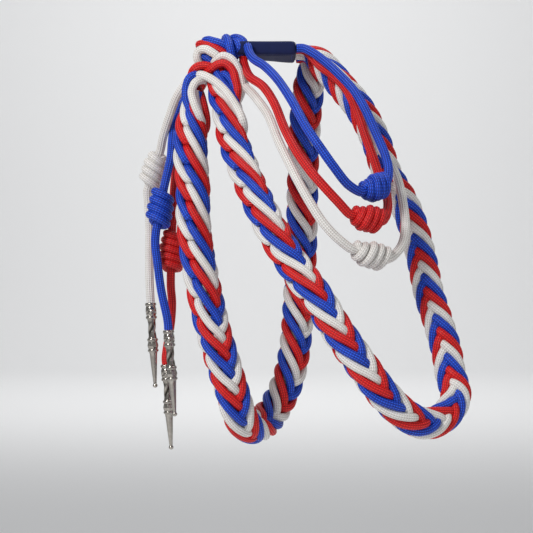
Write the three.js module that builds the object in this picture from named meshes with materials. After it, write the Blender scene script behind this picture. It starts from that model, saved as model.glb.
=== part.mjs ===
import * as THREE from 'three';
import { mergeVertices } from 'three/addons/utils/BufferGeometryUtils.js';

// An aiguillette for the left shoulder, in the form that it takes when it is worn.
// Millimetres, +Z up, +X away from the neck, +Y towards the back. The origin is the hold at the shoulder.

// Routes are laid out as the left front view shows them: right, up and away from the hold.
// Right and up are read at the hold's own distance, so what is nearer counts for less.
const view = { turnDegrees: 50, distance: 1200, middleRight: 37.4, middleUp: -181.9 };

const gap = 0.3;
const cordDiameter = 7;
const cordSides = 8;
const cordStep = 2.4 * cordDiameter;
const cordLead = 0.8 * cordDiameter;

const tab = {
  front: 12.3,
  length: 49.7,
  thickness: 12,
  nearSide: -14,
  farSideFront: 14,
  farSideRear: 40,
  cornerRadius: 5,
};

const wrap = { length: 35, radius: 13.5, turns: 5, ridge: 1.2, sides: 12 };

const innerBraid = {
  width: 99,
  drop: 316,
  depth: 95,
  radius: 13.2,
  endRadius: 5.6,
  taper: 42,
  pitch: 15.5,
};
const outerBraid = {
  width: 201,
  drop: 314,
  depth: 151,
  radius: 12,
  endRadius: 5.6,
  taper: 42,
  pitch: 13.6,
};
const braidForm = { sides: 12, step: 6.1, lobe: 0.1, ridge: 0.9 };

const knot = { radius: 10.5, endRadius: 6.2, wraps: 5, ridge: 1.1, sides: 12 };

const tip = { length: 73.5, collarRadius: 4.8, neckRadius: 3.1, ballRadius: 2.1, sides: 10 };

// The form of a tip from its top down: shares of its length and of its collar's radius.
const tipForm = [
  { along: 0.0, radius: 0.9 },
  { along: 0.02, radius: 1.0 },
  { along: 0.04, radius: 0.86 },
  { along: 0.1, radius: 0.98 },
  { along: 0.16, radius: 0.86 },
  { along: 0.18, radius: 1.0 },
  { along: 0.21, radius: 0.72 },
  { along: 0.32, radius: 0.64 },
  { along: 0.41, radius: 0.72 },
  { along: 0.44, radius: 0.94 },
  { along: 0.5, radius: 0.88 },
  { along: 0.56, radius: 0.94 },
  { along: 0.6, radius: 0.66 },
  { along: 0.8, radius: 0.44 },
  { along: 0.94, radius: 0.22 },
];

// Where the hidden ends of the cords enter the tab's rear face: how far away each one lies.
const rearPlaces = { blue: -10, red: -2, white: 6, outer: 17.5, inner: 31.5 };

// Where the arm cords leave the tab: how far right and away each one starts.
const exitPlaces = { blue: { right: 22 }, red: { right: 18, away: -7 }, white: { right: 18, away: 6 } };

// Cord routes, chosen by hand: right, up, away.
const routes = {
  blueFront: [
    [23, -2, -22],
    [27, -8, -35],
    [35, -13, -48],
    [47, -25, -72],
    [59, -43, -94],
    [71, -65, -112],
    [82, -81, -117],
    [94, -98, -117],
    [106, -113, -111],
    [117, -119, -102],
  ],
  blueRear: [
    [140, -112, -83],
    [140, -102, -77],
    [137, -88, -70],
    [129, -69, -61],
    [121, -51, -52],
    [111, -34, -42],
    [99, -21, -32],
    [87, -10, -21],
    [76, -2, -14],
  ],
  redFront: [
    [18, -9, -8],
    [20, -16, -20],
    [24, -23, -38],
    [35, -31, -62],
    [44, -45, -78],
    [53, -67, -95],
    [62, -84, -106],
    [73, -100, -114],
    [85, -114, -119],
    [97, -127, -118],
    [108, -138, -113],
  ],
  redRear: [
    [137, -145, -98],
    [139, -134, -84],
    [138, -120, -69],
    [133, -108, -63],
    [127, -90, -58],
    [121, -74, -52],
    [113, -51, -40],
    [105, -34, -32],
    [94, -22, -22],
    [82, -13, -12],
    [74, -4, -4],
  ],
  whiteFront: [
    [17, -14, 5],
    [18, -24, -6],
    [20, -31, -24],
    [24, -35, -38],
    [30, -42, -56],
    [39, -55, -72],
    [47, -75, -90],
    [55, -92, -102],
    [65, -112, -111],
    [74, -128, -117],
    [85, -145, -121],
    [96, -157, -121],
    [109, -167, -117],
  ],
  whiteRear: [
    [141, -177, -98],
    [150, -166, -90],
    [154, -150, -82],
    [152, -128, -73],
    [148, -110, -65],
    [142, -96, -57],
    [134, -84, -51],
    [126, -66, -44],
    [116, -46, -30],
    [108, -30, -21],
    [97, -18, -12],
    [84, -8, -3],
    [75, -2, 4],
  ],
  whiteUpper: [
    [-22, -15.5, -3],
    [-26, -21, 0],
    [-31, -28, 2],
    [-38, -39, 5],
    [-44, -55, 11],
    [-49, -71, 18],
    [-52, -85, 25],
  ],
  whiteLower: [
    [-62.5, -117, 32],
    [-62, -130, 34],
    [-61, -148, 34],
    [-61, -166, 33],
    [-61, -190, 32],
    [-60, -212, 31],
  ],
  blueUpper: [
    [-19, -14, 9],
    [-22, -24, 13],
    [-28, -36, 17],
    [-35, -48, 21],
    [-40, -62, 22],
    [-42, -77, 14],
    [-43, -90, 7],
    [-46, -104, 3],
    [-49, -117, 2],
  ],
  blueLower: [
    [-55, -150, 4],
    [-56, -162, 6],
    [-54, -180, 8],
    [-51, -202, 9],
    [-46, -225, 9],
    [-45, -235, 9],
  ],
  redUpper: [
    [-11, -14, 10.5],
    [-16, -28, 11],
    [-26, -45, 16],
    [-33, -69, 17],
    [-37, -91, 17],
    [-40, -113, 17],
    [-41, -134, 17],
    [-42, -151, 18],
  ],
  redLower: [
    [-43, -188, 22],
    [-43, -199, 25],
    [-42, -212, 28],
    [-43, -229, 31],
    [-46, -248, 32],
    [-47, -264, 32],
  ],
};

// How far each tip leans from its cord's end: right, up, away.
const tipLeans = { white: [4, -74, 1], blue: [5.5, -74, 1], red: [4.5, -74, 0] };

// Braid routes: each row is a place (right, up, away), as shares of the loop's width, drop and depth,
// and the side that the V's look to.
const braidRoutes = {
  inner: [
    { place: [-0.182, -0.041, -0.095], looks: [0.57, 0, -0.82] },
    { place: [-0.202, -0.063, -0.147], looks: [0.71, 0, -0.71] },
    { place: [-0.222, -0.095, -0.158], looks: [0.87, 0, -0.5] },
    { place: [-0.253, -0.149, -0.168], looks: [0.94, 0, -0.34] },
    { place: [-0.263, -0.212, -0.189], looks: [0.97, 0, -0.24] },
    { place: [-0.263, -0.285, -0.221], looks: [0.98, 0, -0.21] },
    { place: [-0.242, -0.37, -0.253], looks: [0.98, 0, -0.21] },
    { place: [-0.242, -0.44, -0.295], looks: [0.98, 0, -0.21] },
    { place: [-0.212, -0.532, -0.337], looks: [0.95, 0, -0.31] },
    { place: [-0.152, -0.639, -0.389], looks: [0.83, 0, -0.56] },
    { place: [-0.081, -0.741, -0.421], looks: [0.47, 0, -0.88] },
    { place: [0, -0.826, -0.453], looks: [0.34, 0, -0.94] },
    { place: [0.081, -0.908, -0.453], looks: [0.25, -0.2, -0.95] },
    { place: [0.152, -0.972, -0.379], looks: [0.1, -0.5, -0.8] },
    { place: [0.242, -1, -0.179], looks: [0, -0.9, -0.4] },
    { place: [0.343, -0.991, 0.053], looks: [0, -1, 0.1] },
    { place: [0.455, -0.946, 0.253], looks: [0, -0.7, 0.7] },
    { place: [0.556, -0.877, 0.379], looks: [0.1, -0.3, 0.95] },
    { place: [0.616, -0.785, 0.463], looks: [0.1, 0, 1] },
    { place: [0.646, -0.665, 0.526], looks: [0.1, 0, 1] },
    { place: [0.667, -0.532, 0.547], looks: [0.1, 0, 1] },
    { place: [0.677, -0.399, 0.537], looks: [0.1, 0, 1] },
    { place: [0.687, -0.278, 0.505], looks: [0.1, 0, 1] },
    { place: [0.707, -0.165, 0.463], looks: [0.1, 0, 1] },
    { place: [0.737, -0.076, 0.411], looks: [0.2, 0.2, 1] },
    { place: [0.737, -0.022, 0.347], looks: [0.3, 0.7, 0.7] },
  ],
  outer: [
    { place: [-0.025, -0.041, -0.06], looks: [0.71, 0, -0.71] },
    { place: [-0.02, -0.064, -0.093], looks: [0.77, 0, -0.64] },
    { place: [-0.01, -0.092, -0.126], looks: [0.79, 0, -0.62] },
    { place: [0.015, -0.143, -0.166], looks: [0.79, 0, -0.62] },
    { place: [0.045, -0.236, -0.278], looks: [0.77, 0, -0.64] },
    { place: [0.104, -0.338, -0.437], looks: [0.72, 0, -0.69] },
    { place: [0.149, -0.404, -0.543], looks: [0.67, 0, -0.74] },
    { place: [0.219, -0.494, -0.649], looks: [0.64, 0, -0.77] },
    { place: [0.303, -0.58, -0.728], looks: [0.62, 0, -0.79] },
    { place: [0.393, -0.659, -0.808], looks: [0.36, 0.1, -0.93] },
    { place: [0.478, -0.748, -0.861], looks: [0.3, 0.1, -0.95] },
    { place: [0.587, -0.847, -0.887], looks: [0.2, 0.1, -0.97] },
    { place: [0.667, -0.917, -0.874], looks: [0.15, 0.1, -0.98] },
    { place: [0.766, -0.978, -0.808], looks: [0.1, 0.1, -1] },
    { place: [0.851, -1, -0.702], looks: [0.2, 0, -1] },
    { place: [0.93, -0.978, -0.596], looks: [0.3, -0.1, -0.9] },
    { place: [0.975, -0.927, -0.53], looks: [0.2, 0, -1] },
    { place: [0.955, -0.866, -0.477], looks: [0, 0, -1] },
    { place: [0.94, -0.809, -0.437], looks: [0, 0, -1] },
    { place: [0.905, -0.729, -0.397], looks: [-0.05, 0, -1] },
    { place: [0.866, -0.65, -0.364], looks: [-0.1, 0, -1] },
    { place: [0.841, -0.573, -0.331], looks: [-0.1, 0, -1] },
    { place: [0.811, -0.494, -0.305], looks: [-0.15, 0, -1] },
    { place: [0.766, -0.414, -0.272], looks: [-0.15, 0, -1] },
    { place: [0.692, -0.331, -0.225], looks: [-0.1, 0, -1] },
    { place: [0.642, -0.239, -0.159], looks: [0, 0, -1] },
    { place: [0.577, -0.159, -0.086], looks: [0.1, 0, -1] },
    { place: [0.512, -0.108, -0.02], looks: [0.1, 0.2, -1] },
    { place: [0.443, -0.057, 0.06], looks: [0.1, 0.4, -0.9] },
    { place: [0.378, -0.016, 0.113], looks: [0, 0.6, -0.8] },
  ],
};

const colours = { blue: 0x2340a8, red: 0xb8262c, white: 0xe6e0da, silver: 0xb9bcc0, mixed: 0x8a5a78 };

const fabric = (colour) =>
  new THREE.MeshStandardMaterial({ color: colours[colour], roughness: 0.55, metalness: 0 });
const metal = () =>
  new THREE.MeshStandardMaterial({ color: colours.silver, roughness: 0.2, metalness: 1 });

// A point of a route in the worn frame: x to the right, y away, z up.
function at([right, up, away]) {
  const spread = 1 + away / view.distance;
  return new THREE.Vector3(
    view.middleRight + (right - view.middleRight) * spread,
    away,
    view.middleUp + (up - view.middleUp) * spread,
  );
}

function direction([right, up, away]) {
  return new THREE.Vector3(right, away, up).normalize();
}

// Points just outside the tab, and the ways that what ends there comes to it.
const onRear = (away) => new THREE.Vector3(tab.front + tab.length + gap, away, 0);
const onNearSide = ({ right }) => new THREE.Vector3(right, tab.nearSide - gap, 0);
const underTab = ({ right, away }) => new THREE.Vector3(right, away, -tab.thickness / 2 - gap);
const rearAxis = direction([-1, 0, 0]);
const nearSideAxis = direction([0, 0, 1]);
const undersideAxis = direction([0, 1, 0]);

function smooth(points) {
  return new THREE.CatmullRomCurve3(points, false, 'centripetal');
}

function closedSolid(geometry) {
  geometry.deleteAttribute('uv');
  geometry.deleteAttribute('normal');
  const solid = mergeVertices(geometry, 1e-4);
  solid.computeVertexNormals();
  return solid;
}

// The point that a cord passes just before its end, so that it comes to the end straight.
function leadTo(end, axis) {
  return end.clone().addScaledVector(axis, -cordLead);
}

// A plain round cord along a curve, with square ends.
function cordGeometry(curve) {
  const section = new THREE.Shape();
  for (let i = 0; i < cordSides; i += 1) {
    const angle = (2 * Math.PI * i) / cordSides;
    const x = (cordDiameter / 2) * Math.cos(angle);
    const y = (cordDiameter / 2) * Math.sin(angle);
    if (i === 0) section.moveTo(x, y);
    else section.lineTo(x, y);
  }
  section.closePath();
  const steps = Math.max(3, Math.round(curve.getLength() / cordStep));
  return closedSolid(new THREE.ExtrudeGeometry(section, { steps, extrudePath: curve }));
}

// A turned form standing on its axis from one point towards another.
function turnedBetween(from, to, profile, sides) {
  const outline = profile.map(([radius, along]) => new THREE.Vector2(radius, along));
  const geometry = closedSolid(new THREE.LatheGeometry(outline, sides));
  const axis = new THREE.Vector3().subVectors(to, from).normalize();
  const turn = new THREE.Quaternion().setFromUnitVectors(new THREE.Vector3(0, 1, 0), axis);
  geometry.applyQuaternion(turn);
  geometry.translate(from.x, from.y, from.z);
  geometry.computeVertexNormals();
  return geometry;
}

// Turns of cord laid side by side round a core: one ridge for each turn.
function coiledProfile(length, radius, endRadius, turns, ridge) {
  const profile = [[0, 0], [endRadius, 0]];
  const width = length / turns;
  for (let i = 0; i < turns; i += 1) {
    const atEnd = i === 0 || i === turns - 1;
    const crown = atEnd ? radius - ridge : radius;
    profile.push([crown, (i + 0.5) * width]);
    if (i < turns - 1) profile.push([radius - 2 * ridge, (i + 1) * width]);
  }
  profile.push([endRadius, length], [0, length]);
  return profile;
}

function knotBetween(from, to) {
  const axis = new THREE.Vector3().subVectors(to, from).normalize();
  const start = from.clone().addScaledVector(axis, gap);
  const end = to.clone().addScaledVector(axis, -gap);
  const length = start.distanceTo(end);
  const profile = coiledProfile(length, knot.radius, knot.endRadius, knot.wraps, knot.ridge);
  return turnedBetween(start, end, profile, knot.sides);
}

// A metal tip that hangs from a cord's end along its lean.
function tipGeometry(from, lean) {
  const axis = direction(lean);
  const start = from.clone().addScaledVector(axis, gap);
  const end = start.clone().addScaledVector(axis, tip.length);
  const profile = [[0, 0]];
  for (const { along, radius } of tipForm) {
    const neck = radius < 0.7 && along < 0.5 ? tip.neckRadius : radius * tip.collarRadius;
    profile.push([neck, along * tip.length]);
  }
  const ballCentre = tip.length - tip.ballRadius;
  for (const degrees of [-55, 0, 50]) {
    const angle = THREE.MathUtils.degToRad(degrees);
    const radius = tip.ballRadius * Math.cos(angle);
    profile.push([radius, ballCentre + tip.ballRadius * Math.sin(angle)]);
  }
  profile.push([0, tip.length]);
  return turnedBetween(start, end, profile, tip.sides);
}

// Evenly spaced places along a braid's route, each with its tangent and the way that its V's look.
function braidFrames(points, looks, steps) {
  const curve = smooth(points);
  const lookCurve = smooth(looks);
  const frames = [];
  for (let i = 0; i <= steps; i += 1) {
    const t = curve.getUtoTmapping(i / steps);
    const along = curve.getTangent(t);
    const face = lookCurve.getPoint(t);
    face.addScaledVector(along, -face.dot(along)).normalize();
    const side = new THREE.Vector3().crossVectors(face, along);
    frames.push({ place: curve.getPoint(t), along, face, side });
  }
  return frames;
}

// The radius of a braid's outer form: three lobes, with V-shaped ridges, slimmer at both ends.
function braidRadius(braid, angle, distance, length) {
  const fromEnd = Math.min(distance, length - distance);
  const grown = THREE.MathUtils.smoothstep(fromEnd, 0, braid.taper);
  const body = THREE.MathUtils.lerp(braid.endRadius, braid.radius, grown);
  const lobes = 1 - braidForm.lobe * Math.cos(3 * angle) ** 2 * (Math.cos(3 * angle) > 0 ? 1 : 0);
  const chevron = distance / braid.pitch + Math.abs(angle) / (2 * Math.PI / 3);
  return body * lobes + braidForm.ridge * grown * Math.cos(2 * Math.PI * chevron);
}

// A braid's outer form: a straight round bar bent along the route and given its relief.
function braidGeometry(braid, rows, end, endLooks) {
  const { width, drop, depth } = braid;
  const places = rows.map(({ place: [right, up, away] }) => at([right * width, up * drop, away * depth]));
  const points = [...places, leadTo(end, rearAxis), end];
  const looks = [...rows.map((row) => direction(row.looks)), direction(endLooks), direction(endLooks)];
  const length = smooth(points).getLength();
  const steps = Math.round(length / braidForm.step);
  const frames = braidFrames(points, looks, steps);
  const bar = new THREE.CylinderGeometry(1, 1, 1, braidForm.sides, steps);
  const position = bar.attributes.position;
  for (let i = 0; i < position.count; i += 1) {
    const share = position.getY(i) + 0.5;
    const frame = frames[Math.round(share * steps)];
    const across = Math.hypot(position.getX(i), position.getZ(i));
    const angle = Math.atan2(position.getZ(i), position.getX(i));
    const radius = across * braidRadius(braid, angle, share * length, length);
    const moved = frame.place.clone();
    moved.addScaledVector(frame.face, radius * Math.cos(angle));
    moved.addScaledVector(frame.side, radius * Math.sin(angle));
    position.setXYZ(i, moved.x, moved.y, moved.z);
  }
  return closedSolid(bar);
}

// The padded tab over the hidden ends: a flat sewn pad, wider at its rear.
function tabGeometry() {
  const rear = tab.front + tab.length;
  const corners = [
    [tab.front, tab.nearSide],
    [rear, tab.nearSide],
    [rear, tab.farSideRear],
    [tab.front, tab.farSideFront],
  ];
  const outline = new THREE.Shape();
  corners.forEach((corner, i) => {
    const before = corners[(i + corners.length - 1) % corners.length];
    const after = corners[(i + 1) % corners.length];
    const start = towards(corner, before, tab.cornerRadius);
    const end = towards(corner, after, tab.cornerRadius);
    if (i === 0) outline.moveTo(...start);
    else outline.lineTo(...start);
    outline.quadraticCurveTo(...corner, ...end);
  });
  outline.closePath();
  const depth = tab.thickness;
  const pad = new THREE.ExtrudeGeometry(outline, { depth, bevelEnabled: false, curveSegments: 4 });
  pad.translate(0, 0, -tab.thickness / 2);
  return closedSolid(pad);
}

function towards([x, y], [otherX, otherY], distance) {
  const length = Math.hypot(otherX - x, otherY - y);
  return [x + ((otherX - x) * distance) / length, y + ((otherY - y) * distance) / length];
}

function addPiece(group, name, geometry, material) {
  const mesh = new THREE.Mesh(geometry, material);
  mesh.name = name;
  group.add(mesh);
}

// A cord over the arm: down the front, a knot at its lowest place, and up to the tab's rear face.
function addArmCord(group, colour, exit, exitAxis) {
  const frontPoints = routes[`${colour}Front`].map(at);
  const rearPoints = routes[`${colour}Rear`].map(at);
  const knotStart = frontPoints.pop();
  const knotEnd = rearPoints.shift();
  const knotAxis = new THREE.Vector3().subVectors(knotEnd, knotStart).normalize();
  const backAxis = knotAxis.clone().negate();
  const rearEnd = onRear(rearPlaces[colour]);
  const start = [exit, leadTo(exit, exitAxis)];
  const end = [leadTo(rearEnd, rearAxis), rearEnd];
  const front = smooth([...start, ...frontPoints, leadTo(knotStart, knotAxis), knotStart]);
  const rear = smooth([knotEnd, leadTo(knotEnd, backAxis), ...rearPoints, ...end]);
  addPiece(group, `${colour}_arm_cord_front`, cordGeometry(front), fabric(colour));
  addPiece(group, `${colour}_arm_knot`, knotBetween(knotStart, knotEnd), fabric(colour));
  addPiece(group, `${colour}_arm_cord_rear`, cordGeometry(rear), fabric(colour));
}

// A cord down the chest: a knot part of the way, and a metal tip on its end.
function addHangingCord(group, colour) {
  const upperPoints = routes[`${colour}Upper`].map(at);
  const lowerPoints = routes[`${colour}Lower`].map(at);
  const knotStart = upperPoints.pop();
  const knotEnd = lowerPoints.shift();
  const end = lowerPoints.pop();
  const knotAxis = new THREE.Vector3().subVectors(knotEnd, knotStart).normalize();
  const backAxis = knotAxis.clone().negate();
  const tipAxis = direction(tipLeans[colour]);
  const upper = smooth([...upperPoints, leadTo(knotStart, knotAxis), knotStart]);
  const lower = smooth([knotEnd, leadTo(knotEnd, backAxis), ...lowerPoints, leadTo(end, tipAxis), end]);
  addPiece(group, `${colour}_hanging_cord_upper`, cordGeometry(upper), fabric(colour));
  addPiece(group, `${colour}_hanging_knot`, knotBetween(knotStart, knotEnd), fabric(colour));
  addPiece(group, `${colour}_hanging_cord_lower`, cordGeometry(lower), fabric(colour));
  addPiece(group, `${colour}_tip`, tipGeometry(end, tipLeans[colour]), metal());
}

function addShoulderPieces(group) {
  addPiece(group, 'shoulder_tab', tabGeometry(), fabric('blue'));
  const wrapEnd = new THREE.Vector3(tab.front - gap, 0, 0);
  const wrapStart = new THREE.Vector3(tab.front - gap - wrap.length, 0, 0);
  const profile = coiledProfile(wrap.length, wrap.radius, wrap.radius * 0.7, wrap.turns, wrap.ridge);
  addPiece(group, 'shoulder_wrap', turnedBetween(wrapStart, wrapEnd, profile, wrap.sides), fabric('blue'));
}

const worn = new THREE.Group();
worn.rotation.z = THREE.MathUtils.degToRad(view.turnDegrees);
addShoulderPieces(worn);
const innerForm = braidGeometry(innerBraid, braidRoutes.inner, onRear(rearPlaces.inner), [0.3, 0.8, 0.5]);
const outerForm = braidGeometry(outerBraid, braidRoutes.outer, onRear(rearPlaces.outer), [0, 0.8, -0.6]);
addPiece(worn, 'inner_braid', innerForm, fabric('mixed'));
addPiece(worn, 'outer_braid', outerForm, fabric('mixed'));
addArmCord(worn, 'blue', onNearSide(exitPlaces.blue), nearSideAxis);
addArmCord(worn, 'red', underTab(exitPlaces.red), undersideAxis);
addArmCord(worn, 'white', underTab(exitPlaces.white), undersideAxis);
for (const colour of ['white', 'blue', 'red']) addHangingCord(worn, colour);

const aiguillette = new THREE.Group();
aiguillette.add(worn);
export default aiguillette;
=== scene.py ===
import math

import bmesh
import bpy
import numpy as np
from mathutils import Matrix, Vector


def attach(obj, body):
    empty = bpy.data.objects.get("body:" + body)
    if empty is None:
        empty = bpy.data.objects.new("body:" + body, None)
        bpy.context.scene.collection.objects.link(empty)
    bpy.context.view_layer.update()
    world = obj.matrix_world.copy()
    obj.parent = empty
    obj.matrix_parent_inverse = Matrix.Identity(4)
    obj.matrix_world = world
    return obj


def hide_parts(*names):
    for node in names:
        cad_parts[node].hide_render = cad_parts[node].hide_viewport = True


# An aiguillette for the left shoulder: braided loops, knotted cords and metal tips, as worn.

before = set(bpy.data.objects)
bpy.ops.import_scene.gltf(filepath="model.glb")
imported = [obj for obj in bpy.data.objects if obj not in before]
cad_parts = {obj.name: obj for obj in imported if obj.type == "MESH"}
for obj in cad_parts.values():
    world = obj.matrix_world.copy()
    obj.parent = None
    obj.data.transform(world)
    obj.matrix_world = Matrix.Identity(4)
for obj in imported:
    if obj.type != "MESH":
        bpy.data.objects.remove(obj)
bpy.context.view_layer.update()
mm = 0.001
print("frame loaded")

# Routes are laid out as the left front view shows them: right, up and away from the hold, in mm.
sight = {"turn": 50, "distance": 1200, "middleRight": 37.4, "middleUp": -181.9, "lens": 96.45}


def turned(local):  # right, away and up in mm, turned to the wearer's axes, in metres
    local = np.array(local, float).reshape(-1, 3)
    angle = math.radians(sight["turn"])
    x = local[:, 0] * math.cos(angle) - local[:, 1] * math.sin(angle)
    y = local[:, 0] * math.sin(angle) + local[:, 1] * math.cos(angle)
    return np.stack([x, y, local[:, 2]], axis=1) * mm


def placed(rows):  # right, up and away as the view shows them, as right, away and up in mm
    rows = np.array(rows, float).reshape(-1, 3)
    spread = 1 + rows[:, 2] / sight["distance"]
    across = sight["middleRight"] + (rows[:, 0] - sight["middleRight"]) * spread
    height = sight["middleUp"] + (rows[:, 1] - sight["middleUp"]) * spread
    return np.stack([across, rows[:, 2], height], axis=1)


def unit(v):
    v = np.array(v, float)
    return v / np.linalg.norm(v)


# Paths


def sampled(points, perSpan):  # a centripetal curve through the points
    points = np.array(points, float)
    padded = np.vstack([2 * points[0] - points[1], points, 2 * points[-1] - points[-2]])
    out = []
    for i in range(len(points) - 1):
        p0, p1, p2, p3 = padded[i : i + 4]
        spans = [np.linalg.norm(b - a) for a, b in ((p0, p1), (p1, p2), (p2, p3))]
        d0, d1, d2 = (max(math.sqrt(span), 1e-3) for span in spans)
        m1 = ((p1 - p0) / d0 - (p2 - p0) / (d0 + d1) + (p2 - p1) / d1) * d1
        m2 = ((p2 - p1) / d1 - (p3 - p1) / (d1 + d2) + (p3 - p2) / d2) * d1
        for t in np.arange(perSpan) / perSpan:
            a, b = 2 * t**3 - 3 * t**2 + 1, t**3 - 2 * t**2 + t
            c, d = -2 * t**3 + 3 * t**2, t**3 - t**2
            out.append(a * p1 + b * m1 + c * p2 + d * m2)
    out.append(points[-1])
    return np.array(out)


def lengthsAlong(line):
    return np.concatenate([[0], np.cumsum(np.linalg.norm(np.diff(line, axis=0), axis=1))])


def readAt(rows, along, at):  # the rows of a line, read at other lengths along it
    return np.stack([np.interp(at, along, rows[:, k]) for k in range(rows.shape[1])], axis=1)


def evenly(line, step):
    along = lengthsAlong(line)
    at = np.linspace(0, along[-1], max(2, round(along[-1] / step) + 1))
    return readAt(line, along, at)


# Nodes


class Link:
    def __init__(self, tree, socket=None):
        self.tree = tree
        self.socket = socket

    def node(self, kind, settings, values, output=0):
        made = self.tree.nodes.new(kind)
        for key, value in settings.items():
            if key == "stops":
                ramp = made.color_ramp
                while len(ramp.elements) < len(value):
                    ramp.elements.new(0.5)
                for element, (position, colour) in zip(ramp.elements, value):
                    element.position = position
                    element.color = colour
            else:
                setattr(made, key, value)
        for key, value in values.items():
            if isinstance(value, Link):
                self.tree.links.new(value.socket, made.inputs[key])
            else:
                made.inputs[key].default_value = value
        return Link(self.tree, made.outputs[output])

    def other(self, name):
        return Link(self.tree, self.socket.node.outputs[name])

    def math(self, operation, *values):
        numbered = dict(enumerate(values))
        return self.node("ShaderNodeMath", {"operation": operation}, numbered)

    def __add__(self, value):
        return self.math("ADD", self, value)

    __radd__ = __add__

    def __sub__(self, value):
        return self.math("SUBTRACT", self, value)

    def __rsub__(self, value):
        return self.math("SUBTRACT", value, self)

    def __mul__(self, value):
        return self.math("MULTIPLY", self, value)

    __rmul__ = __mul__

    def __truediv__(self, value):
        return self.math("DIVIDE", self, value)

    def __abs__(self):
        return self.math("ABSOLUTE", self)

    def mix(self, low, high):  # this factor's blend of two colours
        values = {"Factor": self, 6: low, 7: high}
        return self.node("ShaderNodeMix", {"data_type": "RGBA"}, values, 2)


def newTree(name, sockets):
    tree = bpy.data.node_groups.new(name, "GeometryNodeTree")
    for label, kind in sockets.items():
        tree.interface.new_socket(name=label, in_out="INPUT", socket_type=kind)
    tree.interface.new_socket(name="Geometry", in_out="OUTPUT", socket_type="NodeSocketGeometry")
    given = tree.nodes.new("NodeGroupInput")
    return tree, {label: Link(tree, given.outputs[label]) for label in sockets}


def endTree(tree, geometry, material):
    smooth = geometry.node("GeometryNodeSetShadeSmooth", {}, {"Geometry": geometry})
    real = smooth.node("GeometryNodeRealizeInstances", {}, {"Geometry": smooth})
    painted = real.node("GeometryNodeSetMaterial", {}, {"Geometry": real, "Material": material})
    result = tree.nodes.new("NodeGroupOutput")
    tree.links.new(painted.socket, result.inputs["Geometry"])
    return tree


def grown(name, data, tree, values):  # the plain mesh that a tree makes from some data
    source = bpy.data.objects.new(name + "_source", data)
    bpy.context.scene.collection.objects.link(source)
    modifier = source.modifiers.new("grow", "NODES")
    modifier.node_group = tree
    for label, value in values.items():
        modifier[tree.interface.items_tree[label].identifier] = value
    evaluated = source.evaluated_get(bpy.context.evaluated_depsgraph_get())
    mesh = bpy.data.meshes.new_from_object(evaluated)
    bpy.data.objects.remove(source)
    return newPiece(name, mesh)


def newPiece(name, mesh):
    mesh.name = name
    piece = bpy.data.objects.new(name, mesh)
    bpy.context.scene.collection.objects.link(piece)
    return piece


def curveData(name, lines):
    data = bpy.data.curves.new(name, "CURVE")
    data.dimensions = "3D"
    for line in lines:
        spline = data.splines.new("POLY")
        spline.points.add(len(line) - 1)
        spline.points.foreach_set("co", np.hstack([line, np.ones((len(line), 1))]).ravel())
    return data


# A cord: a round sheath whose wales run along it


def makeSheathTree():
    sockets = {
        "Geometry": "NodeSocketGeometry",
        "Radius": "NodeSocketFloat",
        "Sides": "NodeSocketInt",
        "Wales": "NodeSocketInt",
        "Wale Depth": "NodeSocketFloat",
        "Step": "NodeSocketFloat",
        "Material": "NodeSocketMaterial",
    }
    tree, given = newTree("corded sheath", sockets)
    start = given["Geometry"]
    line = start.node(
        "GeometryNodeResampleCurve", {"mode": "LENGTH"}, {"Curve": start, "Length": given["Step"]}
    )
    length = start.node("GeometryNodeSplineParameter", {}, {}, "Length")
    line = start.node(
        "GeometryNodeStoreNamedAttribute", {}, {"Geometry": line, "Name": "along", "Value": length}
    )
    circle = start.node(
        "GeometryNodeCurvePrimitiveCircle", {}, {"Resolution": given["Sides"], "Radius": 1.0}
    )
    place = start.node("GeometryNodeInputPosition", {}, {})
    ring = start.node(
        "GeometryNodeStoreNamedAttribute",
        {"data_type": "FLOAT_VECTOR"},
        {"Geometry": circle, "Name": "ring", "Value": place},
    )
    x = start.node("ShaderNodeSeparateXYZ", {}, {"Vector": place})
    angle = start.math("ARCTAN2", x.other("Y"), x)
    wave = start.math("COSINE", angle * given["Wales"])
    size = given["Radius"] * (1 + given["Wale Depth"] * wave)
    scaled = start.node("ShaderNodeVectorMath", {"operation": "SCALE"}, {0: place, "Scale": size})
    section = start.node("GeometryNodeSetPosition", {}, {"Geometry": ring, "Position": scaled})
    tube = start.node(
        "GeometryNodeCurveToMesh", {}, {"Curve": line, "Profile Curve": section, "Fill Caps": True}
    )
    return endTree(tree, tube, given["Material"])


sheathTree = makeSheathTree()


def makeCord(name, lines, size, material):
    values = {
        "Radius": size["diameter"] / 2 * mm,
        "Sides": size["sides"],
        "Wales": size["wales"],
        "Wale Depth": size["waleDepth"],
        "Step": size["step"] * mm,
        "Material": material,
    }
    return grown(name, curveData(name, lines), sheathTree, values)


# Finishes


def newMaterial(name, **fixed):
    material = bpy.data.materials.new(name)
    material.use_nodes = True
    shader = material.node_tree.nodes["Principled BSDF"]
    for label, value in fixed.items():
        shader.inputs[label.replace("_", " ")].default_value = value
    return material, Link(material.node_tree), shader


def feed(shader, label, value):
    value.tree.links.new(value.socket, shader.inputs[label])


def noise(place, scale, detail):
    values = {"Vector": place, "Scale": scale, "Detail": detail}
    return place.node("ShaderNodeTexNoise", {}, values)


def bumped(height, strength, distance):
    values = {"Height": height, "Strength": strength, "Distance": distance}
    return height.node("ShaderNodeBump", {}, values)


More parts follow.
